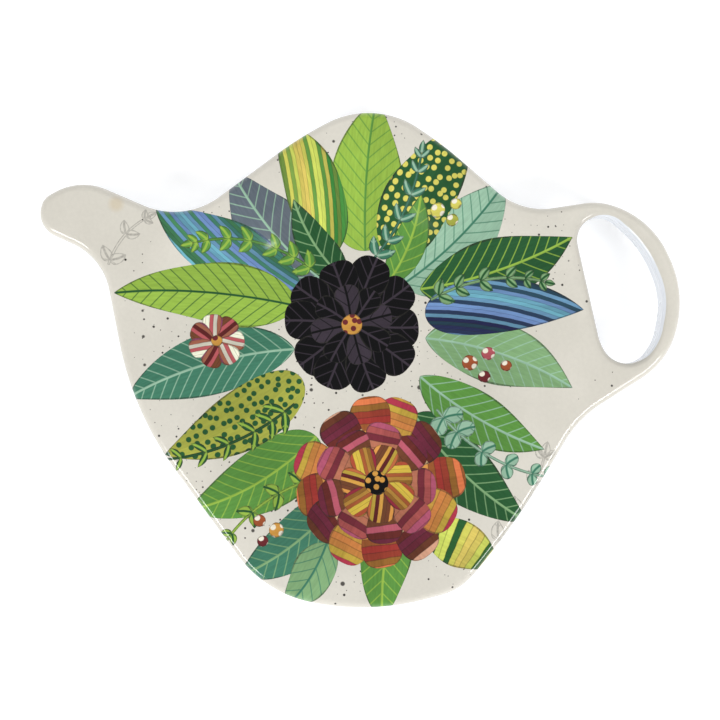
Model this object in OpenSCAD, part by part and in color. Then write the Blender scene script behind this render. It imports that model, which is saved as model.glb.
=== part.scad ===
// Teapot-shaped tea bag rest: a shallow dish pressed in white melamine, with a printed foil
// fused over its face. Origin: middle of the outline, on the surface that it stands on.
// +X towards the handle, +Y towards the lid, +Z up.

/* [Overall] */
// Length from the spout's tip to the outer edge of the handle
overall_w = 115; // [106:1:124]
// Depth from the top of the lid to the front edge
overall_d = 89; // [82:1:96]
// Height of the rim above the surface that the dish stands on
rim_h = 9.5; // [8.5:0.1:11]

/* [Moulding] */
// Thickness of the floor, the slope and the rim
wall_t = 2.6; // [2.3:0.1:3]
// Radius of the rolled upper edge
roll_r = 1.4; // [1.2:0.1:1.5]
// Radius of the lower edge
under_r = 0.7; // [0.5:0.1:0.9]
// Least width of flat land between the rolled edge and the well
land_w = 1.4; // [0.8:0.1:2]

/* [Well] */
// Most that the well reaches from its middle towards the spout
well_left = 38.5; // [36:0.5:43]
// Most that the well reaches from its middle towards the handle
well_right = 34; // [31:0.5:35]
// Most that the well reaches from its middle towards the lid
well_back = 39; // [36:0.5:42]
// Most that the well reaches from its middle towards the front
well_front = 48; // [45:0.5:52]
// From these limits in to the edge of the flat floor
slope_w = 22; // [18:0.5:24]
// How far the pouring channel runs past the well into the spout
channel_l = 4.5; // [2:0.5:6]

/* [Foot] */
// Height of the foot ring
foot_h = 1.4; // [1:0.1:1.8]
// Width of the foot ring where the dish stands on it
foot_w = 2.2; // [1.6:0.1:3]
// Widening of each side of the foot ring up to its root
foot_draft = 0.3; // [0.1:0.1:0.5]

/* [Handle] */
// Thickness of the handle's loop
handle_t = 5; // [4:0.1:6]
// Width of the loop at its outermost point
loop_w = 3.1; // [3:0.1:4]
// Width of the finger hole
hole_w = 15.4; // [13:0.1:16]
// Length of the finger hole
hole_l = 26.2; // [24:0.1:26.5]
// How far the finger hole reaches in front of the middle line
hole_front = 0.4; // [0.2:0.1:1.5]
// Radius of the rolled edge round the finger hole
hole_roll_r = 0.9; // [0.6:0.1:1]

/* [Printed foil] */
// Thickness of the printed foil with its clear glaze
foil_t = 0.35; // [0.25:0.05:0.5]
// How far the foil runs down the edge below the roll
wrap_h = 0.4; // [0.2:0.1:0.6]

/* [Hidden] */

// Longest stretch of the outline between two stations, and the same beside the finger hole
run_step = 5;
handle_step = 2.8;
// Where two curves lie closer than this, they share one station
least_run = 0.6;
// Turn from one station to the next in a curve, in degrees
arc_step = 16;
// Steps of the rolled edge, of the lower edge and of the slope
roll_steps = 4;
under_steps = 2;
slope_steps = 7;
// Rings of a rolled edge: one at the edge of the foil, and one at each end of each step
roll_rings_n = roll_steps + 2;

// Corners of the teapot's outline, counter-clockwise from the lid's right shoulder:
// x as a share of half the length, y of half the depth, and the blend radius of the depth
outline_shares = [
    [0.265, 0.865, 0.70],    // right shoulder of the lid
    [0.045, 1.0585, 0.18],   // top of the lid
    [-0.190, 0.900, 0.74],   // left shoulder of the lid
    [-0.550, 0.555, 0.155],  // dip between lid and spout
    [-0.875, 0.735, 0.115],  // back of the spout
    [-0.988, 0.655, 0.035],  // tip of the spout, upper half
    [-1.019, 0.540, 0.050],  // tip of the spout, lower half
    [-0.805, 0.415, 0.130],  // throat under the spout
    [-0.710, -0.210, 0.64],  // left side of the belly
    [-0.295, -0.945, 0.240], // front left corner
    [0.035, -1.0255, 0.50],  // front edge
    [0.315, -0.930, 0.130],  // front right corner
    [0.480, -0.675, 1.60],   // right side of the belly
    [0.685, -0.235, 0.225],  // root of the handle, lower
    [0.965, -0.005, 0.160],  // handle, front
    [1.019, 0.275, 0.210],   // handle, outermost
    [0.915, 0.560, 0.180],   // handle, back
    [0.755, 0.645, 0.135],   // handle, top
    [0.505, 0.595, 0.140]    // root of the handle, upper
];

// Corners of the finger hole, counter-clockwise from its upper left:
// x as a share of its width, y of its length, and the blend radius of its width
hole_shares = [
    [-0.07, 1.00, 0.28],
    [0.26, 0.14, 0.52],
    [0.53, -0.15, 0.33],
    [0.93, 0.13, 0.64],
    [1.03, 0.45, 0.90],
    [0.78, 0.80, 1.30],
    [0.39, 1.00, 0.31]
];

// Middle of the well, in shares of half the length and half the depth
well_mid_shares = [0, 0.11];
// Middle of the finger hole, in shares of its width and length
hole_mid_shares = [0.52, 0.46];
// Directions from the middle of the well between which the handle lies, in degrees
handle_span = [-18, 33];
// Keeps two stations that lie in one direction in order, in degrees
tie = 0.0001;
// Where the rim starts to thicken towards the handle, as a share of the way to the finger hole
root_share = 0.62;
// Direction of the pouring channel, and its spread to each side, in degrees
channel_dir = 155;
channel_spread = 24;
// How closely the well's edge keeps to the smaller of its two limits
blend_power = 14;
// The edge is eased over this spread to each side, in degrees, from this many steps
ease_spread = 20;
ease_steps = 5;

half_w = overall_w / 2;
half_d = overall_d / 2;
well_mid = [well_mid_shares.x * half_w, well_mid_shares.y * half_d];
floor_h = foot_h + wall_t;
depth = rim_h - floor_h;
wrap_z = rim_h - roll_r - wrap_h;
hole_left = half_w - loop_w - hole_w;
hole_mid = [hole_left + hole_mid_shares.x * hole_w, hole_mid_shares.y * hole_l - hole_front];

outline_corners = [for (s = outline_shares) [s.x * half_w, s.y * half_d, s.z * overall_d]];
hole_corners = [for (s = hole_shares)
    [hole_left + s.x * hole_w, s.y * hole_l - hole_front, s.z * hole_w]];

function unit(a) = [cos(a), sin(a)];
function flat(p) = [p.x, p.y];
function heading(p, q) = atan2(q.y - p.y, q.x - p.x);
function wrapped(a) = a > 180 ? a - 360 : a <= -180 ? a + 360 : a;
function smooth(t) = let (s = max(0, min(1, t))) s * s * (3 - 2 * s);
function reversed(v) = [for (i = [len(v) - 1 : -1 : 0]) v[i]];

// How far the curve of each corner reaches along its two edges; where an edge is too short for
// the curves at both its ends, they share it
function reaches(c) =
    let (
        n = len(c),
        come = [for (i = [0 : n - 1]) heading(c[(i + n - 1) % n], c[i])],
        edge = [for (i = [0 : n - 1]) norm(flat(c[i]) - flat(c[(i + n - 1) % n]))],
        want = [for (i = [0 : n - 1]) c[i].z * tan(abs(wrapped(come[(i + 1) % n] - come[i])) / 2)],
        fit = [for (i = [0 : n - 1]) min(1, edge[i] / (want[i] + want[(i + n - 1) % n]))]
    )
    [for (i = [0 : n - 1]) want[i] * min(fit[i], fit[(i + 1) % n])];

// Each rounded corner as [start point, outward direction there, turn, radius, end point]
function arcs(c) =
    let (n = len(c), reach = reaches(c))
    [for (i = [0 : n - 1])
        let (
            here = c[i],
            come = heading(c[(i + n - 1) % n], here),
            turn = wrapped(heading(here, c[(i + 1) % n]) - come)
        )
        [
            flat(here) - reach[i] * unit(come),
            come - 90,
            turn,
            reach[i] / tan(abs(turn) / 2),
            flat(here) + reach[i] * unit(come + turn)
        ]
    ];

// Stations round a closed outline, each as [x, y, outward direction]
function stations(c) =
    let (n = len(c), all = arcs(c))
    [for (i = [0 : n - 1])
        let (
            a = all[i],
            step = c[i].x > hole_left ? handle_step : run_step,
            side = sign(a[2]),
            mid = a[0] - side * a[3] * unit(a[1]),
            sweep = abs(a[2]),
            steps = ceil(max(sweep / arc_step, sweep * PI / 180 * a[3] / step)),
            run = all[(i + 1) % n][0] - a[4],
            parts = ceil(norm(run) / step),
            joined = norm(run) < least_run
        )
        each concat(
            [for (k = [0 : joined ? steps - 1 : steps])
                let (d = a[1] + a[2] * k / steps)
                concat(mid + side * a[3] * unit(d), d)],
            [for (k = [1 : 1 : parts - 1]) concat(a[4] + run * k / parts, a[1] + a[2])]
        )
    ];

outline = stations(outline_corners);
finger_hole = stations(hole_corners);
last = len(outline) - 1;

// An outline drawn in by inset, at one height
function inset_ring(path, inset, z) = [for (p = path) concat(flat(p) - inset * unit(p.z), z)];

// Where the land may end, seen from the middle of the well, as [direction, reach]
land_reach = [for (p = inset_ring(outline, roll_r + land_w, 0))
    [heading(well_mid, p), norm(flat(p) - well_mid)]];

// The well's edge keeps inside the land, and stops short of the spout and the handle, where an
// oval limits it. The same oval drawn in is the edge of the flat floor.
function oval(a, inset) =
    let (across = cos(a) < 0 ? well_left : well_right, along = sin(a) < 0 ? well_front : well_back)
    1 / norm([cos(a) / (across - inset), sin(a) / (along - inset)]);
function channel(a) = channel_l * exp(-pow(wrapped(a - channel_dir) / channel_spread, 2));
function lesser(p, q) = p * pow(1 + pow(p / q, blend_power), -1 / blend_power);
land_table = [for (turn = [-360, 0, 360]) for (l = land_reach) l + [turn, 0]];
function edge_reach(a) = lesser(lookup(a, land_table), oval(a, 0) + channel(a));

// Its corners are eased by a mean over nearby directions, weighted towards the middle
ease_dirs = [for (k = [1 - ease_steps : ease_steps - 1]) ease_spread * k / ease_steps];
ease_weights = [for (d = ease_dirs) 1 + cos(180 * d / ease_spread)];
ease_total = ease_weights * [for (d = ease_dirs) 1];
well_reach = [for (l = land_reach)
    min(l[1], ease_weights * [for (d = ease_dirs) edge_reach(l[0] + d)] / ease_total)];
floor_reach = [for (l = land_reach) oval(l[0], slope_w)];

// The point at station i, at a given reach from the middle of the well
function well_point(i, reach, z) = concat(well_mid + reach * unit(land_reach[i][0]), z);

// Station i at share s of the slope, sunk by t square to the moulded face
function slope_point(i, s, t) =
    let (
        run = well_reach[i] - floor_reach[i],
        tilt = atan(depth * PI / 2 * sin(180 * s) / run),
        z = floor_h + depth * (1 + cos(180 * s)) / 2 - t * cos(tilt)
    )
    well_point(i, well_reach[i] - s * run + t * sin(tilt), z);
function slope_ring(s, t) = [for (i = [0 : last]) slope_point(i, s, t)];

// A quarter round of radius r at an upper edge, from the edge of the foil to the land, sunk
// by t; side is 1 at the dish's own edge and -1 round the finger hole
function roll_rings(path, r, side, t) = concat(
    [inset_ring(path, side * t, wrap_z)],
    [for (k = [0 : roll_steps])
        let (b = 90 * k / roll_steps)
        inset_ring(path, side * (r - (r - t) * cos(b)), rim_h - r + (r - t) * sin(b))]
);

// The whole face from the edge of the foil to the floor, sunk by t
function face_rings(t) = concat(
    roll_rings(outline, roll_r, 1, t),
    [for (k = [0 : slope_steps]) slope_ring(k / slope_steps, t)]
);

// The rim is wall_t thick, and thickens to handle_t on the way to the finger hole
function rim_thickness(x) =
    let (from = root_share * hole_left, to = hole_left - under_r)
    wall_t + (handle_t - wall_t) * smooth((x - from) / (to - from));

// The underside from the middle over the foot ring to the edge of the well
bowl_rings = concat(
    [for (e = [[-foot_w / 2 - foot_draft, foot_h], [-foot_w / 2, 0],
               [foot_w / 2, 0], [foot_w / 2 + foot_draft, foot_h]])
        [for (i = [0 : last]) well_point(i, floor_reach[i] + e[0], e[1])]],
    [for (k = [slope_steps - 1 : -1 : 0])
        let (s = k / slope_steps)
        [for (i = [0 : last]) slope_point(i, s, rim_thickness(slope_point(i, s, 0).x))]]
);

// On from there over the lower edge to the edge of the foil
edge_rings = concat(
    [for (k = [0 : under_steps])
        let (b = 90 * k / under_steps)
        [for (p = inset_ring(outline, under_r * (1 - sin(b)), rim_h + under_r * (1 - cos(b))))
            p - [0, 0, rim_thickness(p.x)]]],
    [inset_ring(outline, 0, wrap_z)]
);

// The first and the last station of the handle
handle_stations = [for (i = [0 : last])
    if (land_reach[i][0] > handle_span[0] && land_reach[i][0] < handle_span[1]) i];
gate = [min(handle_stations), max(handle_stations)];

// The finger hole's wall from the underside to the land, widened by its rounded edges. The wall
// is sunk by t behind the foil.
function hole_rings(t) = concat(
    [for (k = [0 : under_steps])
        let (b = 90 * k / under_steps)
        inset_ring(finger_hole, -under_r * (1 - sin(b)), rim_h - handle_t + under_r * (1 - cos(b)))],
    [inset_ring(finger_hole, 0, wrap_z)],
    roll_rings(finger_hole, hole_roll_r, -1, t)
);

// Directions of points seen from the middle of the finger hole, counted from start
function turns(points, start) = [for (p = points) (heading(hole_mid, p) - start + 720) % 360];
// The last entry of the rising list v that lies before t, or the last of all
function passed(v, t) = let (n = len([for (x = v) if (x < t) x])) (n + len(v) - 1) % len(v);

// Triangles between two loops of different length round the finger hole: each edge of one loop
// is joined to the point of the other that it has just passed. up is true on the upper side.
function zipped(outer, outer_turns, inner, inner_turns, up) =
    let (
        m = len(outer),
        n = len(inner),
        faces = concat(
            [for (i = [0 : m - 1])
                let (k = (i + 1) % m)
                [outer[i], inner[passed(inner_turns, k == 0 ? 360 : outer_turns[k])], outer[k]]],
            [for (i = [0 : n - 1])
                let (k = (i + 1) % n)
                [inner[i], inner[k], outer[passed(outer_turns, inner_turns[k] + tie)]]]
        )
    )
    [for (f = faces) up ? f : reversed(f)];

// A closed skin over a stack of rings, from the middle of its lower side out to the edge and
// back to the middle of its upper side. Beside the handle it is open between the rings low and
// low + 1, and between the rings high and high + 1, and the rings of tunnel join these gaps.
module skin(rings, low, high, tunnel) {
    n = len(rings[0]);
    m = len(rings);
    t = len(tunnel[0]);
    layers = len(tunnel);
    ends = [for (r = [rings[0], rings[m - 1]]) concat(well_mid, r[0].z)];

    // Both loops are counted from the direction of the handle's first station
    start = heading(hole_mid, rings[high][gate[0]]);
    raw = turns(tunnel[0], start);
    shift = search(min(raw), raw)[0];
    inner_turns = [for (i = [0 : t - 1]) raw[(i + shift) % t]];
    span = [for (i = [gate[0] : gate[1]]) i];

    function gap(outer, inner) = concat(
        [for (i = span) outer * n + i], [for (i = reversed(span)) inner * n + i]);
    function gap_turns(outer, inner) = turns(concat(
        [for (i = span) rings[outer][i]], [for (i = reversed(span)) rings[inner][i]]), start);
    function mouth(j) = [for (i = [0 : t - 1]) m * n + j * t + (i + shift) % t];

    walls = [for (j = [0 : m - 2]) for (i = [0 : n - 1])
        let (open = (j == low || j == high) && i >= gate[0] && i < gate[1])
        if (!open)
        let (a = j * n, b = a + n, k = (i + 1) % n)
        each [[a + i, b + i, b + k], [a + i, b + k, a + k]]];
    lining = [for (j = [0 : layers - 2]) for (i = [0 : t - 1])
        let (a = m * n + j * t, b = a + t, k = (i + 1) % t)
        each [[a + i, a + k, b + k], [a + i, b + k, b + i]]];
    tip = m * n + layers * t;
    caps = [for (i = [0 : n - 1])
        each [[tip, i, (i + 1) % n], [tip + 1, (m - 1) * n + (i + 1) % n, (m - 1) * n + i]]];

    polyhedron(
        points = concat([for (r = rings) each r], [for (r = tunnel) each r], ends),
        faces = concat(
            walls,
            lining,
            caps,
            zipped(gap(low + 1, low), gap_turns(low + 1, low), mouth(0), inner_turns, false),
            zipped(gap(high, high + 1), gap_turns(high, high + 1), mouth(layers - 1), inner_turns, true)
        )
    );
}

// White melamine: floor, slope, rim, spout and handle in one pressing, on a foot ring
module melamine_tray() {
    underside = concat(bowl_rings, edge_rings);
    low = len(bowl_rings) - 1;
    high = len(underside) + roll_rings_n - 1;
    color("white")
    skin(concat(underside, face_rings(foil_t)), low, high, hole_rings(foil_t));
}

// Printed foil with its clear glaze: follows the whole face and turns down over the rolled edges
module decor_foil() {
    back = reversed(face_rings(foil_t));
    low = slope_steps;
    high = len(back) + roll_rings_n - 1;
    lining = concat(
        reversed(roll_rings(finger_hole, hole_roll_r, -1, foil_t)),
        roll_rings(finger_hole, hole_roll_r, -1, 0)
    );
    color([0.86, 0.84, 0.79])
    skin(concat(back, face_rings(0)), low, high, lining);
}

melamine_tray();
decor_foil();
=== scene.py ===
# A teapot-shaped tea bag rest of printed melamine, lying on a pale table under a camera that
# looks straight down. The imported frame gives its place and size: +X runs towards the handle,
# +Y towards the teapot's lid and +Z up. Shapes are worked out in millimetres.

import math

import bpy
import numpy as np
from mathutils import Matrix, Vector
from mathutils.geometry import delaunay_2d_cdt


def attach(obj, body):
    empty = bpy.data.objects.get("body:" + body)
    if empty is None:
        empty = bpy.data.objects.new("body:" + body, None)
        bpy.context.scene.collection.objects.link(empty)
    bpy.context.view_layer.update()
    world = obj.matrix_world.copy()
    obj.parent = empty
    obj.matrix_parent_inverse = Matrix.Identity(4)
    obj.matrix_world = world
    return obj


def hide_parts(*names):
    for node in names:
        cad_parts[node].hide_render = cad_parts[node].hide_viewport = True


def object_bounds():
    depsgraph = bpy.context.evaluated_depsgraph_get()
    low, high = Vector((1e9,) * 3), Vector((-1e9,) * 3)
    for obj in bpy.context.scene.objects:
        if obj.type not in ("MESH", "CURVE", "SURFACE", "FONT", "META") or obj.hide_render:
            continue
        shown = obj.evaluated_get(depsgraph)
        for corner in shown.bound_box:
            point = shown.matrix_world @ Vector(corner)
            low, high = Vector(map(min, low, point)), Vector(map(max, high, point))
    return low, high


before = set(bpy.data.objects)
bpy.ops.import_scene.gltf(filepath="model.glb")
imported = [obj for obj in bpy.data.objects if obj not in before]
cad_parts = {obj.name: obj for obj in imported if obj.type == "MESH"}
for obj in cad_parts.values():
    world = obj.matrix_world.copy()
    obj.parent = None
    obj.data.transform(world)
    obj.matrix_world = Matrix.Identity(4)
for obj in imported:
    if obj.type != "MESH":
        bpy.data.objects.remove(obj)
cad_low, cad_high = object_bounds()


# The tray. One pressing of white melamine powder, cured in a heated steel mould: floor, slope,
# rolled rim, spout and looped handle at an even thickness, on an oval foot ring. Its face lies
# under the printed foil, so its underside, its edge and the finger hole's wall are what shows.

MM = 0.001
overall_w, overall_d, rim_h = 115.0, 89.0, 9.5
wall_t, roll_r, under_r, land_w = 2.6, 1.4, 0.7, 1.4
well_left, well_right, well_back, well_front = 38.5, 34.0, 39.0, 48.0
slope_w, channel_l = 22.0, 4.5
foot_h, foot_w, foot_draft, foot_round = 1.4, 2.2, 0.3, 0.25
handle_t, loop_w, hole_w, hole_l = 5.0, 3.1, 15.4, 26.2
hole_front, hole_roll_r = 0.4, 0.9
foil_t, wrap_h = 0.35, 0.4

# Corners of the teapot's outline from the lid's right shoulder, counter-clockwise: x as a share
# of half the length, y of half the depth, and the blend radius of the depth
outline_shares = [
    (0.265, 0.865, 0.70),
    (0.045, 1.0585, 0.18),
    (-0.190, 0.900, 0.74),
    (-0.550, 0.555, 0.155),
    (-0.875, 0.735, 0.115),
    (-0.988, 0.655, 0.035),
    (-1.019, 0.540, 0.050),
    (-0.805, 0.415, 0.130),
    (-0.710, -0.210, 0.64),
    (-0.295, -0.945, 0.240),
    (0.035, -1.0255, 0.50),
    (0.315, -0.930, 0.130),
    (0.480, -0.675, 1.60),
    (0.685, -0.235, 0.225),
    (0.965, -0.005, 0.160),
    (1.019, 0.275, 0.210),
    (0.915, 0.560, 0.180),
    (0.755, 0.645, 0.135),
    (0.505, 0.595, 0.140),
]
# Corners of the finger hole from its upper left, in shares of its width and length
hole_shares = [
    (-0.07, 1.00, 0.28),
    (0.26, 0.14, 0.52),
    (0.53, -0.15, 0.33),
    (0.93, 0.13, 0.64),
    (1.03, 0.45, 0.90),
    (0.78, 0.80, 1.30),
    (0.39, 1.00, 0.31),
]
# The well's middle in shares of half the length and half the depth, how far towards the finger
# hole the wall starts to thicken, the pouring channel's heading and spread, and how sharply the
# well's edge is blended and over how many degrees to each side it is eased
well_mid_shares = (0, 0.11)
root_share = 0.62
channel_dir, channel_spread = 155, 24
blend_power, ease_spread = 14, 20

half_w, half_d = overall_w / 2, overall_d / 2
well_mid = np.array([well_mid_shares[0] * half_w, well_mid_shares[1] * half_d])
floor_h = foot_h + wall_t
wrap_z = rim_h - roll_r - wrap_h
hole_left = half_w - loop_w - hole_w


def unit(degrees):
    """Unit vectors in these directions."""
    a = np.radians(degrees)
    return np.stack([np.cos(a), np.sin(a)], -1)


def heading(vectors):
    """Directions of vectors, in degrees."""
    return np.degrees(np.arctan2(vectors[..., 1], vectors[..., 0]))


def blended(corners, most_run=0.6, most_turn=5, least_run=0.05):
    """Stations round an outline with blended corners, each as x, y and outward direction."""
    corner, radius = corners[:, :2], corners[:, 2]
    edge = corner - np.roll(corner, 1, 0)
    come = heading(edge)
    turn = (np.roll(come, -1) - come + 180) % 360 - 180
    bend = np.tan(np.radians(abs(turn) / 2))
    want = radius * bend
    fit = np.minimum(1, np.linalg.norm(edge, axis=1) / (want + np.roll(want, 1)))
    reach = want * np.minimum(fit, np.roll(fit, -1))
    stations = []
    for here, into, angle, r, tangent in zip(corner, come, turn, reach / bend, reach):
        side = np.sign(angle)
        middle = here - tangent * unit(into) - side * r * unit(into - 90)
        steps = math.ceil(max(abs(angle) / most_turn, np.radians(abs(angle)) * r / most_run))
        arc = into - 90 + angle * np.linspace(0, 1, steps + 1)
        stations += [(*(middle + side * r * unit(d)), d) for d in arc]
    closed = []
    for this, following in zip(stations, stations[1:] + stations[:1]):
        run = np.hypot(following[0] - this[0], following[1] - this[1])
        if run > least_run:
            parts = math.ceil(run / most_run - 0.5) or 1
            turned = (following[2] - this[2] + 180) % 360 - 180
            step = np.array([following[0] - this[0], following[1] - this[1], turned]) / parts
            closed += [np.array(this) + k * step for k in range(parts)]
    return np.array(closed)


outline = blended(np.array(outline_shares) * (half_w, half_d, overall_d))
finger_hole = blended(
    np.array(hole_shares) * (hole_w, hole_l, hole_w) + (hole_left, -hole_front, 0)
)

# The true arcs stand a hair outside the solids' flats, so both paths are drawn in to the box.
low, high = np.array(cad_low)[:2] / MM, np.array(cad_high)[:2] / MM
drawn_low, drawn_high = outline[:, :2].min(0), outline[:, :2].max(0)
for path in (outline, finger_hole):
    share = (path[:, :2] - drawn_low) / (drawn_high - drawn_low)
    path[:, :2] = low + share * (high - low)

# The dish lies inside the first path and outside the second
both_paths = ((outline, 1), (finger_hole, -1))


def inset(path, by):
    """A path drawn in square to its edge."""
    return path[:, :2] - by * unit(path[:, 2])


def from_edge(points, path, at_once=2000):
    """How far points lie from a path, and the path's outward direction where it is nearest."""
    start, along = path[:, :2], np.roll(path[:, :2], -1, 0) - path[:, :2]
    out = unit(path[:, 2])
    out_next = np.roll(out, -1, 0)
    far, direction = np.empty(len(points)), np.empty((len(points), 2))
    for first in range(0, len(points), at_once):
        some = points[first : first + at_once]
        offset = some[:, None] - start
        t = np.clip((offset * along).sum(2) / (along * along).sum(1), 0, 1)
        gap = np.hypot(*np.moveaxis(offset - t[..., None] * along, 2, 0))
        best = gap.argmin(1)
        rows = np.arange(len(some))
        share = t[rows, best][:, None]
        normal = (1 - share) * out[best] + share * out_next[best]
        far[first : first + at_once] = gap[rows, best]
        direction[first : first + at_once] = normal / np.linalg.norm(normal, axis=1)[:, None]
    return far, direction


def oval(a, drawn_in):
    """How far an oval round the well's middle reaches in directions, in radians."""
    across = np.where(np.cos(a) < 0, well_left, well_right) - drawn_in
    along = np.where(np.sin(a) < 0, well_front, well_back) - drawn_in
    return 1 / np.hypot(np.cos(a) / across, np.sin(a) / along)


# The well's edge, seen from its middle, is the smaller of the land's edge and an oval with a
# pouring channel towards the spout, eased over nearby directions
way_step = 0.5
every_way = np.arange(-180, 180, way_step)
land = inset(outline, roll_r + land_w) - well_mid
land_order = np.argsort(heading(land))
land_reach = np.interp(
    every_way,
    heading(land)[land_order],
    np.hypot(*land.T)[land_order],
    period=360,
)
off_channel = (every_way - channel_dir + 180) % 360 - 180
channel = channel_l * np.exp(-((off_channel / channel_spread) ** 2))
limit = oval(np.radians(every_way), 0) + channel
edge_reach = land_reach * (1 + (land_reach / limit) ** blend_power) ** (-1 / blend_power)
nearby = np.arange(-ease_spread, ease_spread + way_step, way_step)
ease = 1 + np.cos(np.radians(180 * nearby / ease_spread))
spread = len(ease) // 2
eased = np.convolve(np.pad(edge_reach, spread, mode="wrap"), ease / ease.sum(), mode="valid")
well_reach = np.minimum(land_reach, eased)


def dish_height(points):
    """Height of the face inside the rolled rim."""
    away = points - well_mid
    way, far = heading(away), np.hypot(*away.T)
    edge = np.interp(way, every_way, well_reach, period=360)
    run = edge - oval(np.radians(way), slope_w)
    down = np.clip((edge - far) / run, 0, 1)
    return floor_h + (rim_h - floor_h) * (1 + np.cos(np.pi * down)) / 2


def slopes(height, points, nudge=0.05):
    """How steeply a height rises along x and along y."""
    return [
        (height(points + step) - height(points - step)) / (2 * nudge)
        for step in (np.array([nudge, 0]), np.array([0, nudge]))
    ]


def dish_normal(points):
    """Normals of the face inside the rolled rim."""
    slope_x, slope_y = slopes(dish_height, points)
    normal = np.stack([-slope_x, -slope_y, np.ones(len(points))], -1)
    return normal / np.linalg.norm(normal, axis=1)[:, None]


def face(points, sunk=0.0):
    """Height and normals of the moulded face, or of the surface sunk square to it."""
    normal = dish_normal(points)
    z = dish_height(points) - sunk / normal[:, 2]
    for path, r, side in ((outline, roll_r, 1), (finger_hole, hole_roll_r, -1)):
        far, out = from_edge(points, path)
        rolled = far < r
        lean = np.clip((r - far[rolled]) / (r - sunk), 0, 1)
        rise = np.sqrt(1 - lean**2)
        z[rolled] = rim_h - r + (r - sunk) * rise
        normal[rolled] = np.column_stack([side * out[rolled] * lean[:, None], rise])
    return z, normal


def underside(points):
    """Height of the tray's underside with its foot ring and rounded lower edges."""
    root = root_share * hole_left
    swell = np.clip((points[:, 0] - root) / (hole_left - under_r - root), 0, 1)
    thickness = wall_t + (handle_t - wall_t) * swell**2 * (3 - 2 * swell)
    lift = 0
    for path in (outline, finger_hole):
        far = np.minimum(from_edge(points, path)[0], under_r)
        lift = lift + under_r - np.sqrt(under_r**2 - (under_r - far) ** 2)
    under = dish_height(points) - thickness / dish_normal(points)[:, 2] + lift
    away = points - well_mid
    ring = abs(np.hypot(*away.T) - oval(np.radians(heading(away)), slope_w))
    side = np.clip((ring - foot_w / 2 + foot_round) / (foot_draft + 2 * foot_round), 0, 1)
    return under * side**2 * (3 - 2 * side)


def underside_normal(points):
    """Normals of the tray's underside."""
    normal = np.stack([*slopes(underside, points), -np.ones(len(points))], -1)
    normal /= np.linalg.norm(normal, axis=1)[:, None]
    for path, side in both_paths:
        far, out = from_edge(points, path)
        rounded = far < under_r
        lean = 1 - far[rounded] / under_r
        drop = -np.sqrt(1 - lean**2)
        normal[rounded] = np.column_stack([side * out[rounded] * lean[:, None], drop])
    return normal


def foot_line(e, step=2.5):
    """The oval that lies e outside the foot ring's middle line."""
    way = np.arange(0, 360, step)
    return well_mid + (oval(np.radians(way), slope_w) + e)[:, None] * unit(way)


def fill_plan(rings, spacing, clear_of=(), motifs=()):
    """Triangles that fill the dish in plan. The first two rings are its outer edge and the
    finger hole. Returns the points, the triangles, the topmost motif of each triangle, and
    where the points of the first two rings went."""
    row_gap, room = 0.866 * spacing, spacing / 3
    x, y = np.meshgrid(np.arange(low[0], high[0], spacing), np.arange(low[1], high[1], row_gap))
    x[1::2] += spacing / 2
    inner = np.column_stack([x.ravel(), y.ravel()])
    for path, r in ((outline, roll_r), (finger_hole, hole_roll_r)):
        inner = inner[from_edge(inner, path)[0] > r + room]
    for line in clear_of:
        inner = inner[np.hypot(*np.moveaxis(inner[:, None] - line, 2, 0)).min(1) > room]
    shapes = [*rings, *motifs]
    starts = np.cumsum([0] + [len(shape) for shape in shapes])
    loops = [list(range(a, b)) for a, b in zip(starts, starts[1:])]
    lines = [e for loop in loops[2 : len(rings)] for e in zip(loop, loop[1:] + loop[:1])]
    faces = loops[:2] + loops[len(rings) :]
    places = [Vector(p) for p in np.concatenate([*shapes, inner])]
    to_hull, same_place = 0, 1e-5
    points, _, corners, origins, _, holders = delaunay_2d_cdt(
        places, lines, faces, to_hull, same_place, True
    )
    kept = [(c, max(h)) for c, h in zip(corners, holders) if 0 in h and 1 not in h]
    used = sorted({v for c, _ in kept for v in c})
    place = {v: k for k, v in enumerate(used)}
    went = {first: place[v] for v in used for first in origins[v]}
    return (
        np.array([points[v] for v in used]),
        np.array([[place[v] for v in c] for c, _ in kept]),
        np.array([top - 2 for _, top in kept]),
        [[went[k] for k in loop] for loop in loops[:2]],
    )


def band(lower, upper):
    """Triangles between two closed rings of as many points, which face outwards."""
    pairs = list(zip(lower, upper))
    return [
        t
        for (a, c), (b, d) in zip(pairs, pairs[1:] + pairs[:1])
        for t in ((a, b, d), (a, d, c))
    ]


def roll_rings(turns, sunk=0.0):
    """Both paths drawn in to these turns of the rolled edges, or of the surface sunk in them."""
    return [
        inset(path, side * (r - (r - sunk) * c))
        for c in np.cos(np.radians(turns))
        for (path, side), r in zip(both_paths, (roll_r, hole_roll_r))
    ]


def make_piece(name, points, corners):
    """A smooth piece in place of the CAD node of the same name, from points in millimetres."""
    mesh = bpy.data.meshes.new(name)
    mesh.from_pydata((points * MM).tolist(), [], [list(map(int, c)) for c in corners])
    mesh.shade_smooth()
    piece = bpy.data.objects.new(name + "_piece", mesh)
    bpy.context.scene.collection.objects.link(piece)
    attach(piece, "root")
    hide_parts(name)
    return piece


# The tray is closed: its underside, a wall up to the foil's edge, a step in behind the foil,
# and the hidden face. The turns are those of the mesh's rings on the rounded edges.
under_turns, under_spacing = [90, 60, 40, 20, 0], 1.5
sunk_turns, sunk_spacing = [0, 22.5, 45, 67.5, 90], 2.0

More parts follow.
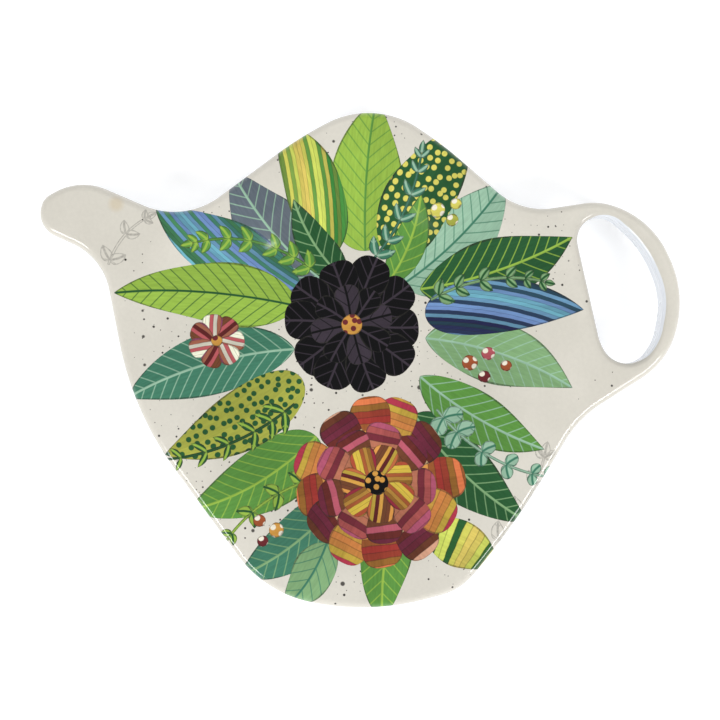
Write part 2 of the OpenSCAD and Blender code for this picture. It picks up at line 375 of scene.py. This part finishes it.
under_insets = under_r * (1 - np.sin(np.radians(under_turns)))
under_rings = [inset(path, side * r) for r in under_insets for path, side in both_paths]
foot_edges = [
    foot_line(side * (foot_w / 2 + e))
    for side in (-1, 1)
    for e in (-foot_round, 0, foot_draft, foot_draft + foot_round)
]
plan, corners, _, edges = fill_plan(under_rings + foot_edges, under_spacing, foot_edges)
tray_points = [np.column_stack([plan, underside(plan)])]
tray_normals = [underside_normal(plan)]
tray_corners = [corners[:, ::-1]]

plan, corners, _, sunk_edges = fill_plan(roll_rings(sunk_turns, foil_t), sunk_spacing)
first = len(tray_points[0])
sunk_z, sunk_normals = face(plan, foil_t)
tray_points.append(np.column_stack([plan, sunk_z]))
tray_normals.append(sunk_normals)
tray_corners.append(corners + first)
first += len(plan)
for (path, side), under_edge, sunk_edge in zip(both_paths, edges, sunk_edges):
    n = len(path)
    step_out, step_in = range(first, first + n), range(first + n, first + 2 * n)
    for by in (0, foil_t):
        tray_points.append(np.column_stack([inset(path, side * by), np.full(n, wrap_z)]))
        tray_normals.append(np.column_stack([side * unit(path[:, 2]), np.zeros(n)]))
    rings = [under_edge, step_out, step_in, [k + len(tray_points[0]) for k in sunk_edge]]
    for lower, upper in zip(rings, rings[1:]):
        tray_corners.append(band(lower, upper) if side > 0 else band(upper, lower))
    first += 2 * n
tray = make_piece(
    "melamine_tray", np.concatenate(tray_points), np.concatenate(tray_corners)
)
tray.data.normals_split_custom_set_from_vertices(np.concatenate(tray_normals))


def paint_nodes(material_name, roughness, ior):
    """A new material with its Principled shader, and a function that adds nodes to it."""
    material = bpy.data.materials.new(material_name)
    material.use_nodes = True
    shader = material.node_tree.nodes["Principled BSDF"]
    shader.inputs["Roughness"].default_value = roughness
    shader.inputs["IOR"].default_value = ior
    return material, shader, adder(material.node_tree)


def adder(tree):
    """A function that adds a node to this tree: its settings by name, its inputs as a dict of
    values and of sockets to link."""

    def add(kind, inputs=None, **settings):
        node = tree.nodes.new(kind)
        for key, value in settings.items():
            setattr(node, key, value)
        for key, value in (inputs or {}).items():
            if isinstance(value, bpy.types.NodeSocket):
                tree.links.new(value, node.inputs[key])
            else:
                node.inputs[key].default_value = value
        return node

    add.link = tree.links.new
    return add


def linear(r, g, b):
    """A colour of 0 to 255 per channel, as it looks on screen, for a shader."""
    channels = np.array([r, g, b]) / 255
    curve = np.where(channels < 0.04045, channels / 12.92, ((channels + 0.055) / 1.055) ** 2.4)
    return (*curve.tolist(), 1.0)


def ramp(value, start, end, low, high):
    """Low where the value is start, high where it is end, even between and held beyond."""
    return add("ShaderNodeMapRange", {0: value, 1: start, 2: end, 3: low, 4: high}).outputs[0]


def mix(share, a, b):
    """Colour a where the share is 0, and colour b where it is 1."""
    return add("ShaderNodeMix", {0: share, 6: a, 7: b}, data_type="RGBA").outputs[2]


def noise(vector, scale, detail=2.0):
    """Soft noise, mostly near 0.5."""
    inputs = {"Vector": vector, "Scale": scale, "Detail": detail}
    return add("ShaderNodeTexNoise", inputs).outputs[0]


# Pressed melamine, plain or over paper: two tones in soft blotches, and a slight ripple from the
# mould that the gloss and the relief follow
blotch_edge, blotch_detail, ripple_range, ripple_h = (0.4, 0.65), 3.0, (0.3, 0.7), 0.02 * MM
pressed = bpy.data.node_groups.new("pressed_melamine", "ShaderNodeTree")
for way, kind, names in (
    ("INPUT", "NodeSocketVector", ("Place",)),
    ("INPUT", "NodeSocketColor", ("Tone", "Other Tone")),
    ("INPUT", "NodeSocketFloat", ("Blotch Scale", "Ripple Scale", "Least Rough", "Most Rough")),
    ("OUTPUT", "NodeSocketColor", ("Color",)),
    ("OUTPUT", "NodeSocketFloat", ("Roughness", "Height")),
):
    for name in names:
        pressed.interface.new_socket(name, in_out=way, socket_type=kind)
add = adder(pressed)
given = add("NodeGroupInput").outputs
blotch = noise(given["Place"], given["Blotch Scale"], blotch_detail)
colour = mix(ramp(blotch, *blotch_edge, 1.0, 0.0), given["Tone"], given["Other Tone"])
ripple = noise(given["Place"], given["Ripple Scale"])
rough = ramp(ripple, *ripple_range, given["Least Rough"], given["Most Rough"])
add("NodeGroupOutput", {"Color": colour, "Roughness": rough, "Height": ripple})


def pressed_skin(shader, relief, values):
    """Places the pressed skin in a material, and gives the shader its gloss and its relief.
    Returns the place on the piece in millimetres, and the skin's colour."""
    place = add("ShaderNodeTexCoord").outputs["Object"]
    place = add("ShaderNodeVectorMath", {0: place, 3: 1 / MM}, operation="SCALE").outputs[0]
    skin = add("ShaderNodeGroup", {"Place": place, **values}, node_tree=pressed).outputs
    add.link(skin["Roughness"], shader.inputs["Roughness"])
    bump = {"Strength": relief, "Distance": ripple_h, "Height": skin["Height"]}
    add.link(add("ShaderNodeBump", bump).outputs[0], shader.inputs["Normal"])
    return place, skin["Color"]


white_melamine, shader, add = paint_nodes("white_melamine", 0.28, 1.6)
plain_white = linear(228, 232, 238)
_, colour = pressed_skin(
    shader,
    relief=0.1,
    values={
        "Tone": plain_white,
        "Other Tone": linear(229, 233, 238),
        "Blotch Scale": 0.04,
        "Ripple Scale": 0.2,
        "Least Rough": 0.25,
        "Most Rough": 0.31,
    },
)
add.link(colour, shader.inputs["Base Color"])
tray.data.materials.append(white_melamine)


# The decor foil. A sheet of printed paper soaked in clear melamine, laid in the mould and fused
# over the whole face in the same press. It wraps the rolled rim down to a trimmed edge, and the
# finger hole's edge down to the bare white wall. The print is a loose garden posy on cream paper.

inks = {
    "cream": (236, 230, 212),
    "lime": (150, 186, 74),
    "leaf": (92, 146, 66),
    "deep": (40, 88, 50),
    "sage": (130, 170, 120),
    "teal": (66, 124, 100),
    "mist": (152, 190, 164),
    "slate": (98, 108, 118),
    "navy": (40, 56, 84),
    "sky": (110, 162, 192),
    "olive": (166, 170, 72),
    "yellow": (216, 208, 98),
    "charcoal": (12, 12, 14),
    "plum": (60, 52, 62),
    "rust": (162, 84, 50),
    "maroon": (110, 42, 46),
    "rose": (178, 86, 94),
    "ochre": (208, 152, 70),
    "sand": (198, 168, 122),
    "pencil": (126, 118, 108),
}
# Powers of a form's width towards its base and its tip
forms = {
    "lance": (0.75, 1.0),
    "egg": (0.5, 0.9),
    "petal": (0.85, 0.38),
    "strap": (0.06, 0.1),
    "round": (0.5, 0.5),
}
patterns = ("veins", "stripes", "dots", "bands")
hand = np.random.default_rng(11)
motifs = []


def draw(base, tip, bow, half, form, paint, ink, pattern=None, fill=1.0, line=0.8):
    """A painted form round a bowed spine, over the forms drawn before it."""
    least_steps, step_l, waver = 8, 0.8, 0.04
    base, tip = np.array(base, float), np.array(tip, float)
    run = tip - base
    middle = (base + tip) / 2 + bow * np.array([-run[1], run[0]])
    n = least_steps + math.ceil(np.hypot(*run) / step_l)
    t = ((1 - np.cos(np.linspace(0, np.pi, n + 1))) / 2)[:, None]
    spine = (1 - t) ** 2 * base + 2 * t * (1 - t) * middle + t**2 * tip
    way = (1 - t) * (middle - base) + t * (tip - middle)
    way /= np.linalg.norm(way, axis=1)[:, None]
    side = np.column_stack([-way[:, 1], way[:, 0]])
    low_power, high_power = forms[form]
    widest = low_power / (low_power + high_power)
    peak = widest**low_power * (1 - widest) ** high_power
    width = half * t**low_power * (1 - t) ** high_power / peak
    sway = waver * np.sin(t * hand.uniform(5, 12) + hand.uniform(0, 6, 2))
    edges = [spine + side * width * (1 + sway[:, :1]), spine - side * width * (1 + sway[:, 1:])]
    motifs.append(
        {
            "edge": np.concatenate([edges[1][:-1], edges[0][:0:-1]]),
            "spine": spine,
            "width": width[:, 0],
            "paint": (*linear(*inks[paint])[:3], fill),
            "ink": (*linear(*inks[ink])[:3], line),
            "pattern": [float(pattern == p) for p in patterns],
        }
    )


def sprig(base, tip, bow, pairs, leaf, half, form, paint, ink, lean=50, **style):
    """A thin stem with leaflets on both sides, smaller towards its tip, and one at the tip."""
    stem_half, lowest, highest, taper, leaf_bow, tip_share = 0.28, 0.18, 0.92, 0.45, 0.12, 0.6
    look = (form, paint, ink, "veins")
    draw(base, tip, bow, stem_half, "strap", paint, ink, **style)
    spine = motifs[-1]["spine"]
    for share in np.linspace(lowest, highest, pairs):
        k = round(share * (len(spine) - 2))
        way = heading(spine[k + 1] - spine[k])
        size = leaf * (1 - taper * share) * hand.uniform(0.9, 1.1)
        for turn in (lean, -lean):
            end = spine[k] + size * unit(way + turn * hand.uniform(0.85, 1.15))
            draw(spine[k], end, leaf_bow * np.sign(turn), half * size / leaf, *look, **style)
    end = spine[-1] + tip_share * leaf * unit(heading(spine[-1] - spine[-2]))
    draw(spine[-1], end, 0, half * tip_share, *look, **style)


def berry(x, y, r, paint, ink="cream"):
    """A round berry, dotted in its ink."""
    tilt = r * 0.1
    draw((x - r, y - tilt), (x + r, y + tilt), 0, r, "round", paint, ink, "dots")


def bloom(x, y, eye, rings):
    """Rings of petals, the outermost first, and an eye: its radius, paint and ink."""
    middle = np.array([x, y])
    for count, start, end, half, turn, pattern, paints in rings:
        for k in range(count):
            look = ("petal", *paints[k % len(paints)], pattern)
            way = turn + 360 * k / count + hand.uniform(-4, 4)
            reach = end * hand.uniform(0.93, 1.05)
            root, tip = middle + start * unit(way), middle + reach * unit(way)
            draw(root, tip, hand.uniform(-0.06, 0.06), half, *look)
    berry(x, y, *eye)


# Pencil sprigs on the bare paper: base, tip, bow, pairs of leaflets, their length and half width,
# and how dark the pencil is
for *row, line in (
    ((24, -33), (33, -17), -0.15, 4, 4.2, 1.5, 0.55),
    ((-45, 17), (-38, 25.5), 0.2, 3, 3.2, 1.1, 0.5),
    ((-27, -35), (-35, -24), 0.15, 3, 3.6, 1.3, 0.45),
):
    sprig(*row, "egg", "pencil", "pencil", fill=0.0, line=line)

# Leaves at the back, then those in front: base, tip, bow, half width, form, inks and pattern
for row in (
    ((-6, 14), (-23, 34), 0.12, 6.8, "egg", "slate", "mist", "veins"),
    ((8, 14), (26, 32), -0.10, 6.8, "egg", "mist", "teal", "veins"),
    ((12, 4), (38, -5), 0.12, 5.6, "lance", "sage", "mist", "veins"),
    ((-12, 2), (-42, -7), -0.12, 5.8, "lance", "teal", "mist", "veins"),
    ((-8, -14), (-31, -27), 0.15, 6.0, "egg", "leaf", "lime", "veins"),
    ((10, -10), (30, -29), -0.12, 5.6, "egg", "deep", "sage", "veins"),
    ((-4, -26), (-22, -39), 0.10, 5.0, "egg", "teal", "sage", "veins"),
    ((6, -28), (4, -47), -0.08, 4.6, "egg", "leaf", "lime", "veins"),
    ((1, 20), (3, 47), 0.06, 6.8, "egg", "lime", "leaf", "veins"),
    ((-5, 19), (-15, 44), -0.10, 5.2, "lance", "leaf", "yellow", "stripes"),
    ((6, 19), (21, 43), 0.10, 6.2, "egg", "deep", "yellow", "dots"),
    ((-11, 14), (-37, 28), 0.10, 5.8, "lance", "teal", "sky", "stripes"),
    ((-12, 10), (-44, 12), -0.08, 5.6, "egg", "lime", "deep", "veins"),
    ((11, 13), (38, 22), -0.10, 5.8, "lance", "deep", "lime", "veins"),
    ((12, 8), (40, 9), 0.10, 5.2, "egg", "navy", "sky", "stripes"),
    ((-11, -3), (-35, -17), 0.12, 5.6, "egg", "olive", "deep", "dots"),
    ((11, -3), (33, -16), -0.10, 4.6, "lance", "leaf", "mist", "veins"),
    ((-6, -33), (-14, -45), 0.12, 3.8, "egg", "sage", "teal", "veins"),
    ((12, -31), (25, -38), 0.16, 4.2, "egg", "deep", "yellow", "bands"),
    ((-2, 14), (-12, 29), 0.14, 3.4, "lance", "deep", "sage", "veins"),
    ((5, 14), (11, 30), -0.14, 3.2, "lance", "leaf", "lime", "veins"),
):
    draw(*row)

# Painted sprigs over the leaves, with the form and inks and, for some, the lean of their leaflets
for row in (
    ((-12, -8), (-38, -18), 0.18, 8, 4.4, 0.85, "lance", "deep", "lime"),
    ((14, -9), (34, -21), -0.2, 6, 3.6, 1.6, "round", "mist", "teal", 62),
    ((2, 18), (11, 37), -0.15, 6, 4.0, 1.0, "lance", "teal", "mist", 42),
    ((-8, 16), (-30, 21), -0.25, 7, 3.8, 1.2, "egg", "leaf", "lime", 48),
    ((-9, -22), (-25, -34), -0.2, 5, 3.6, 1.2, "egg", "lime", "deep", 50),
    ((13, 11), (33, 14), 0.2, 6, 3.4, 1.0, "lance", "sage", "deep", 46),
):
    sprig(*row)

# Flower heads. A ring gives its number of petals, where they start and end, their half width, the
# first one's turn, their pattern, and the pairs of inks that they take in turn.
bloom(
    3.0,
    -22.5,
    (2.2, "charcoal", "ochre"),
    (
        (12, 4, 15.4, 3.8, 8, "bands", (("ochre", "rust"), ("sand", "maroon"), ("rust", "ochre"))),
        (9, 3, 11.0, 3.3, 0, "bands", (("maroon", "rose"), ("rose", "maroon"))),
        (7, 1, 7.0, 2.5, 20, "stripes", (("rust", "ochre"), ("ochre", "maroon"))),
    ),
)
bloom(
    -1.5,
    6.5,
    (1.9, "ochre", "maroon"),
    (
        (10, 2, 12.6, 3.7, 0, "veins", (("charcoal", "plum"),)),
        (8, 1, 7.6, 2.3, 14, "veins", (("plum", "charcoal"), ("charcoal", "plum"))),
    ),
)
bloom(
    -26.0,
    3.5,
    (1.0, "ochre", "maroon"),
    ((7, 0.6, 5.0, 1.8, 0, "stripes", (("rose", "cream"), ("rose", "maroon"))),),
)

# Loose berries on the leaves
for x, y, r, paint in (
    (20, -0.5, 1.4, "rust"),
    (23.2, 1.2, 1.2, "rose"),
    (22.5, -3.0, 1.1, "maroon"),
    (26.3, -1.0, 1.0, "rust"),
    (-15, -30.5, 1.3, "ochre"),
    (-18, -28.8, 1.1, "rust"),
    (-17.4, -32.4, 1.0, "maroon"),
    (14, 27, 1.3, "yellow"),
    (16.6, 25.2, 1.1, "olive"),
    (17.2, 28, 1.0, "yellow"),
):
    berry(x, y, r, paint)

# The foil is closed too: its printed face, its back, and a skirt down to the trimmed edge
foil_rings, foil_spacing = roll_rings(np.arange(0, 91, 15)), 1.2
plan, sheet, tops, _ = fill_plan(foil_rings, foil_spacing, motifs=[m["edge"] for m in motifs])
z, normals = face(plan)
points = np.column_stack([plan, z])
sunk = points - foil_t * normals
holder = {(a, b): k for k, c in enumerate(sheet.tolist()) for a, b in zip(c, c[1:] + c[:1])}
open_edges = [(a, b, k) for (a, b), k in holder.items() if (b, a) not in holder]
brink = sorted({a for a, _, _ in open_edges})
hem, sunk_hem = points[brink], sunk[brink]
hem[:, 2] = sunk_hem[:, 2] = wrap_z
count = len(points)
below = {v: 2 * count + k for k, v in enumerate(brink)}
skirt, skirt_tops = [], []
for a, b, k in open_edges:
    c, d = below[a], below[b]
    e, f = c + len(brink), d + len(brink)
    skirt += [(a, c, d), (a, d, b), (c, e, f), (c, f, d)]
    skirt += [(e, a + count, b + count), (e, b + count, f)]
    skirt_tops += [tops[k]] * 4 + [-1] * 2
foil_corners = np.concatenate([sheet, sheet[:, ::-1] + count, skirt])
foil_tops = np.concatenate([tops, np.full(len(sheet), -1), skirt_tops])
foil_points = np.concatenate([points, sunk, hem, sunk_hem])
foil = make_piece("decor_foil", foil_points, foil_corners)
foil.data.normals_split_custom_set_from_vertices(
    np.concatenate([normals, -normals, normals[brink], -normals[brink]])
)

# What the print is at each corner: its inks, its pattern, and its place in the form, which is how
# far along the spine and off it the corner lies, and the form's half width there
looks = {
    key: np.zeros((len(foil_corners), 3, parts))
    for key, parts in (("paint", 4), ("ink", 4), ("pattern", 4), ("place", 3))
}
corner_plan = foil_points[foil_corners][:, :, :2]

# Painted shade darkens the print where it rolls round the finger hole's edge. The print is punched
# a little off the hole, so white shows round the bend on the side away from the dish
hole_shade_reach, slip, slip_way = 1.3, 0.5, 25
far, out = from_edge(foil_points[:, :2], finger_hole)
for key, values in (
    ("wrapped", np.clip(1 - far / (hole_shade_reach * hole_roll_r), 0, 1)),
    ("unprinted", slip * out @ unit(slip_way) - far),
):
    layer = foil.data.attributes.new(key, "FLOAT", "POINT")
    layer.data.foreach_set("value", values)
for k, m in enumerate(motifs):
    mine = np.flatnonzero(foil_tops == k)
    if len(mine):
        spots = corner_plan[mine].reshape(-1, 2)
        start, step = m["spine"][:-1], np.diff(m["spine"], axis=0)
        length = np.hypot(*step.T)
        offset = spots[:, None] - start
        t = np.clip((offset * step).sum(2) / length**2, 0, 1)
        off = offset - t[..., None] * step
        best = np.hypot(*np.moveaxis(off, 2, 0)).argmin(1)
        rows = np.arange(len(spots))
        share, off, step = t[rows, best], off[rows, best], step[best]
        along = np.cumsum([0, *length])[best] + share * length[best]
        across = np.hypot(*off.T) * np.sign(step[:, 0] * off[:, 1] - step[:, 1] * off[:, 0])
        width = m["width"][best] + share * (m["width"][best + 1] - m["width"][best])
        looks["place"][mine] = np.column_stack([along, across, width]).reshape(-1, 3, 3)
        for key in ("paint", "ink", "pattern"):
            looks[key][mine] = m[key]
for key, values in looks.items():
    vector = key == "place"
    layer = foil.data.attributes.new(key, "FLOAT_VECTOR" if vector else "FLOAT_COLOR", "CORNER")
    layer.data.foreach_set("vector" if vector else "color", values.ravel())

printed_foil, shader, add = paint_nodes("printed_foil", 0.14, 1.55)


def attribute(name):
    """The outputs of one of the foil's attributes."""
    return add("ShaderNodeAttribute", attribute_name=name).outputs


def calc(operation, *values):
    """A sum with values and sockets."""
    return add("ShaderNodeMath", dict(enumerate(values)), operation=operation).outputs[0]


def fade(value, full, none):
    """1 where the value is at or under full, 0 from none up."""
    return ramp(value, full, none, 1.0, 0.0)


spot, skin = pressed_skin(
    shader,
    relief=0.2,
    values={
        "Tone": linear(213, 209, 198),
        "Other Tone": linear(219, 215, 204),
        "Blotch Scale": 0.07,
        "Ripple Scale": 0.45,
        "Least Rough": 0.06,
        "Most Rough": 0.1,
    },
)
paint, ink, pattern = attribute("paint"), attribute("ink"), attribute("pattern")
place = attribute("place")["Vector"]
along, across, half = add("ShaderNodeSeparateXYZ", {0: place}).outputs[:3]
veins, stripes, dots = add("ShaderNodeSeparateColor", {0: pattern["Color"]}).outputs[:3]
bands = pattern["Alpha"]
off = calc("ABSOLUTE", across)

# Veins: a midrib, and fainter side veins that slant back from it
midrib_edge, vein_edge, vein_pitch, vein_share = (0.14, 0.26), (0.08, 0.2), 1.15, 0.75
midrib = fade(off, *midrib_edge)
side_vein = fade(calc("PINGPONG", calc("SUBTRACT", along, off), vein_pitch), *vein_edge)
side_vein = calc("MULTIPLY", side_vein, vein_share)
vein_mask = calc("MULTIPLY", calc("MAXIMUM", midrib, side_vein), veins)

# Stripes run along a form and bands across it. Both are lanes of uneven width, each in one of the
# form's two inks and with a tone and a hue of its own.
stripe_w, stripe_slant, bands_per_mm, drift_l, drift_scale = 0.7, 0.25, 0.85, 0.35, 0.35
paint_share, seam_edge = 0.52, (0.03, 0.1)
drift = calc("MULTIPLY", noise(spot, drift_scale), drift_l)
striped = calc("MULTIPLY", calc("MULTIPLY_ADD", along, stripe_slant, across), stripes)
banded = calc("MULTIPLY", along, calc("MULTIPLY", bands, bands_per_mm))
lane = calc("ADD", calc("ADD", calc("DIVIDE", striped, stripe_w), banded), drift)
lane_random = add("ShaderNodeTexWhiteNoise", {"W": calc("FLOOR", lane)}, noise_dimensions="1D")
lane_random = add("ShaderNodeSeparateColor", {0: lane_random.outputs["Color"]}).outputs
lane_ink, lane_tone, lane_hue = lane_random[:3]
in_lanes = calc("ADD", stripes, bands)
lane_mask = calc("MULTIPLY", calc("GREATER_THAN", lane_ink, paint_share), in_lanes)
seam = calc("MULTIPLY", fade(calc("PINGPONG", lane, 0.5), *seam_edge), in_lanes)

# Dots, scattered
dots_per_mm, dot_scatter, dot_edge = 0.62, 0.55, (0.28, 0.34)
dotting = {"Vector": place, "Scale": dots_per_mm, "Randomness": dot_scatter}
dotting = add("ShaderNodeTexVoronoi", dotting, voronoi_dimensions="2D").outputs["Distance"]
dot_mask = calc("MULTIPLY", fade(dotting, *dot_edge), dots)

# Paint that is streaked along the form and darker on one side of its spine
streak_scale, streak_detail, streak_depth = (0.35, 2.6, 0.0), 3.0, 0.5
light_side, side_step = 1.04, -0.13
lane_depth, hue_depth, seam_share, seam_ink = 0.6, 0.09, 0.45, linear(40, 34, 32)
inked = calc("MAXIMUM", calc("MAXIMUM", vein_mask, dot_mask), lane_mask)
painted = mix(inked, paint["Color"], ink["Color"])
streaks = add("ShaderNodeVectorMath", {0: place, 1: streak_scale}, operation="MULTIPLY")
streak = noise(streaks.outputs[0], 1.0, streak_detail)
tone = calc("MULTIPLY_ADD", calc("SUBTRACT", streak, 0.5), streak_depth, 1.0)
side = calc("MULTIPLY_ADD", calc("LESS_THAN", across, 0.0), side_step, light_side)
lane_shift = calc("MULTIPLY", in_lanes, lane_depth)
lane_shift = calc("MULTIPLY", calc("SUBTRACT", lane_tone, 0.5), lane_shift)
tone = calc("ADD", calc("MULTIPLY", tone, side), lane_shift)
hue_shift = calc("MULTIPLY", in_lanes, hue_depth)
hue_shift = calc("MULTIPLY", calc("SUBTRACT", lane_hue, 0.5), hue_shift)
hue = calc("ADD", hue_shift, 0.5)
painted = add("ShaderNodeHueSaturation", {"Hue": hue, "Color": painted}).outputs[0]
painted = add("ShaderNodeVectorMath", {0: painted, 3: tone}, operation="SCALE").outputs[0]
painted = mix(calc("MULTIPLY", seam, seam_share), painted, seam_ink)

# Paper with a fine grain, and a spatter of ink in patches on its level parts, away from the ends
grain_scale, grain_detail, grain_depth = 1.6, 4.0, 0.1
patch_scale, patch_detail, patch_edge = 0.045, 1.0, (0.5, 0.66)
spatter_reach, level_range = (41.0, 49.0), (0.7, 0.9)
drop_power, drop_edge, drop_ink = 3.0, (-0.02, 0.01), linear(44, 40, 38)
grain = noise(spot, grain_scale, grain_detail)
paper_tone = calc("MULTIPLY_ADD", calc("SUBTRACT", grain, 0.5), grain_depth, 1.0)
paper = add("ShaderNodeVectorMath", {0: skin, 3: paper_tone}, operation="SCALE").outputs[0]
middle = add("ShaderNodeVectorMath", {0: spot}, operation="LENGTH").outputs["Value"]
patches = fade(noise(spot, patch_scale, patch_detail), *patch_edge)
where = calc("MULTIPLY", patches, fade(middle, *spatter_reach))
normal = add("ShaderNodeTexCoord").outputs["Normal"]
level = add("ShaderNodeSeparateXYZ", {0: normal}).outputs["Z"]
where = calc("MULTIPLY", where, ramp(level, *level_range, 0.0, 1.0))
# Fine and coarse drops: how far apart, least and most radius as shares of that, how many are
# there, and how dark they are
for gap, least, most, share, thick in (
    (1.5, 0.05, 0.16, 0.55, 0.95),
    (5.0, 0.02, 0.085, 0.6, 0.9),
):
    drops = {"Vector": spot, "Scale": 1 / gap}
    drops = add("ShaderNodeTexVoronoi", drops, voronoi_dimensions="2D").outputs
    chance, girth = add("ShaderNodeSeparateColor", {0: drops["Color"]}).outputs[:2]
    radius = calc("MULTIPLY_ADD", calc("POWER", girth, drop_power), most - least, least)
    drop = fade(calc("SUBTRACT", drops["Distance"], radius), *drop_edge)
    drop = calc("MULTIPLY", drop, calc("LESS_THAN", chance, calc("MULTIPLY", where, share)))
    paper = mix(calc("MULTIPLY", drop, thick), paper, drop_ink)

# A faint brown stain on the spout
stain_at, stain_edge = (-43.6, 27.9, rim_h), (0.7, 1.7)
stain_share, stain_tone = 0.4, linear(205, 184, 142)
stain = add("ShaderNodeVectorMath", {0: spot, 1: stain_at}, operation="DISTANCE")
stain = calc("MULTIPLY", fade(stain.outputs["Value"], *stain_edge), stain_share)
paper = mix(stain, paper, stain_tone)

# Contours, and the pencil sprigs' veins, in a worn dark line
line_edge, line_ink = (0.1, 0.24), linear(48, 46, 42)
wear_scale, wear_depth, least_wear = 2.2, 1.2, 0.1
colour = mix(paint["Alpha"], paper, painted)
contour = calc("MULTIPLY", fade(calc("SUBTRACT", half, off), *line_edge), ink["Alpha"])
unpainted = calc("SUBTRACT", 1.0, paint["Alpha"])
pencil = calc("MULTIPLY", calc("MULTIPLY", vein_mask, unpainted), ink["Alpha"])
wear = calc("MULTIPLY_ADD", noise(spot, wear_scale), wear_depth, least_wear)
drawn = calc("MULTIPLY", calc("MAXIMUM", contour, pencil), wear)
colour = mix(calc("MINIMUM", drawn, 1.0), colour, line_ink)

# Painted shade on the print round the finger hole's edge, and the white strip there
hole_shade_share, hole_shade_tone, bare_edge = 0.3, linear(150, 146, 138), (-0.02, 0.04)
# painted shade, strongest at the hole's edge and gone a little past its rolled edge
hole_shade = calc("MULTIPLY", attribute("wrapped")["Fac"], hole_shade_share)
colour = mix(hole_shade, colour, hole_shade_tone)
bare = ramp(attribute("unprinted")["Fac"], *bare_edge, 0.0, 1.0)
colour = mix(bare, colour, plain_white)
add.link(colour, shader.inputs["Base Color"])
foil.data.materials.append(printed_foil)


# The table. A wide sheet of white card that keeps the dish's shadow. It is see-through from below,
# and lets the lamp underneath through, so that the underside can be looked at. The foot ring
# clears it by less than a hair, so that the two never share a plane.

card_reach, card_z, card_tone, card_glow = 6.0, -0.02 * MM, 0.9, 0.28
card_mesh = bpy.data.meshes.new("white_card")
card_mesh.from_pydata(
    [(x * card_reach, y * card_reach, card_z) for x, y in ((-1, -1), (1, -1), (1, 1), (-1, 1))],
    [],
    [(0, 1, 2, 3)],
)
card = bpy.data.objects.new("white_card", card_mesh)
bpy.context.scene.collection.objects.link(card)

white_card, shader, add = paint_nodes("white_card", 0.9, 1.3)
shader.inputs["Base Color"].default_value = (card_tone, card_tone, card_tone, 1.0)
shader.inputs["Emission Color"].default_value = (1.0, 1.0, 1.0, 1.0)

# The glow that whitens the card is only for the camera and for reflections, and lights nothing
rays = add("ShaderNodeLightPath").outputs
seen = calc("MAXIMUM", rays["Is Camera Ray"], rays["Is Glossy Ray"])
seen = calc("MAXIMUM", seen, rays["Is Transmission Ray"])
add.link(calc("MULTIPLY", seen, card_glow), shader.inputs["Emission Strength"])
through = add("ShaderNodeBsdfTransparent")
behind = calc("MAXIMUM", add("ShaderNodeNewGeometry").outputs["Backfacing"], rays["Is Shadow Ray"])
either = add("ShaderNodeMixShader", {0: behind, 1: shader.outputs[0], 2: through.outputs[0]})
output = white_card.node_tree.nodes["Material Output"]
add.link(either.outputs[0], output.inputs["Surface"])
card_mesh.materials.append(white_card)


# The light. Two windows in front, to the left and the right of the dish, put a thin line of light
# on the rim's front edges. Soft lamps overhead and under the table are polarised, so they leave
# none. The room has pale walls and a dim ceiling, and gives no light from under the table.


def hang(name, kind, towards, up, far=1.0):
    """A lamp in a direction, given by its heading and elevation, that faces the dish."""
    light = bpy.data.lights.new(name, kind)
    lamp = bpy.data.objects.new(name, light)
    x, y = unit(towards) * math.cos(math.radians(up))
    way = Vector((x, y, math.sin(math.radians(up))))
    lamp.location = far * way
    lamp.rotation_euler = way.to_track_quat("Z", "Y").to_euler()
    bpy.context.scene.collection.objects.link(lamp)
    return lamp


window_up = 37
for name, towards, width, height, radiance in (
    ("window_left", 223, 0.36, 0.26, 11.0),
    ("window_right", 324, 0.32, 0.27, 11.0),
):
    window = hang(name, "AREA", towards, window_up).data
    window.shape = "RECTANGLE"
    window.size, window.size_y = width, height
    window.energy = radiance * math.pi * width * height

soft_angle = 70
for name, towards, up, strength in (("overhead", 80, 84, 1.24), ("underneath", 200, -75, 1.4)):
    lamp = hang(name, "SUN", towards, up)
    lamp.visible_glossy = False
    lamp.data.angle = math.radians(soft_angle)
    lamp.data.energy = strength

# Heights of directions: where the walls' light starts to fall and where the ceiling's dim light
# is reached, and where the table cuts all light off
wall_range, ceiling_light, table_range = (0.1, 0.75), 0.15, (-0.15, -0.05)
room = bpy.data.worlds.new("room")
room.use_nodes = True
add = adder(room.node_tree)
background = room.node_tree.nodes["Background"]
background.inputs["Color"].default_value = (1.0, 1.0, 1.0, 1.0)
way = add("ShaderNodeTexCoord").outputs["Generated"]
way_up = add("ShaderNodeSeparateXYZ", {0: way}).outputs["Z"]
walls = ramp(way_up, *wall_range, 1.0, ceiling_light)
over_table = ramp(way_up, *table_range, 0.0, 1.0)
add.link(calc("MULTIPLY", walls, over_table), background.inputs["Strength"])
bpy.context.scene.world = room


# The camera looks straight down from near by, so that the finger hole shows its far wall. Its
# frame is measured at the height where the rolled rim is widest.

frame_w, above_edge, sensor, nearest = 129.6 * MM, 0.2114, 36.0, 0.01
lens = bpy.data.cameras.new("camera")
lens.sensor_width = sensor
lens.lens = sensor * above_edge / frame_w
lens.clip_start = nearest
camera = bpy.data.objects.new("camera", lens)
camera.location = (0.0, 0.0, above_edge + (rim_h - roll_r) * MM)
bpy.context.scene.collection.objects.link(camera)
bpy.context.scene.camera = camera
bpy.context.scene.view_settings.view_transform = "Standard"
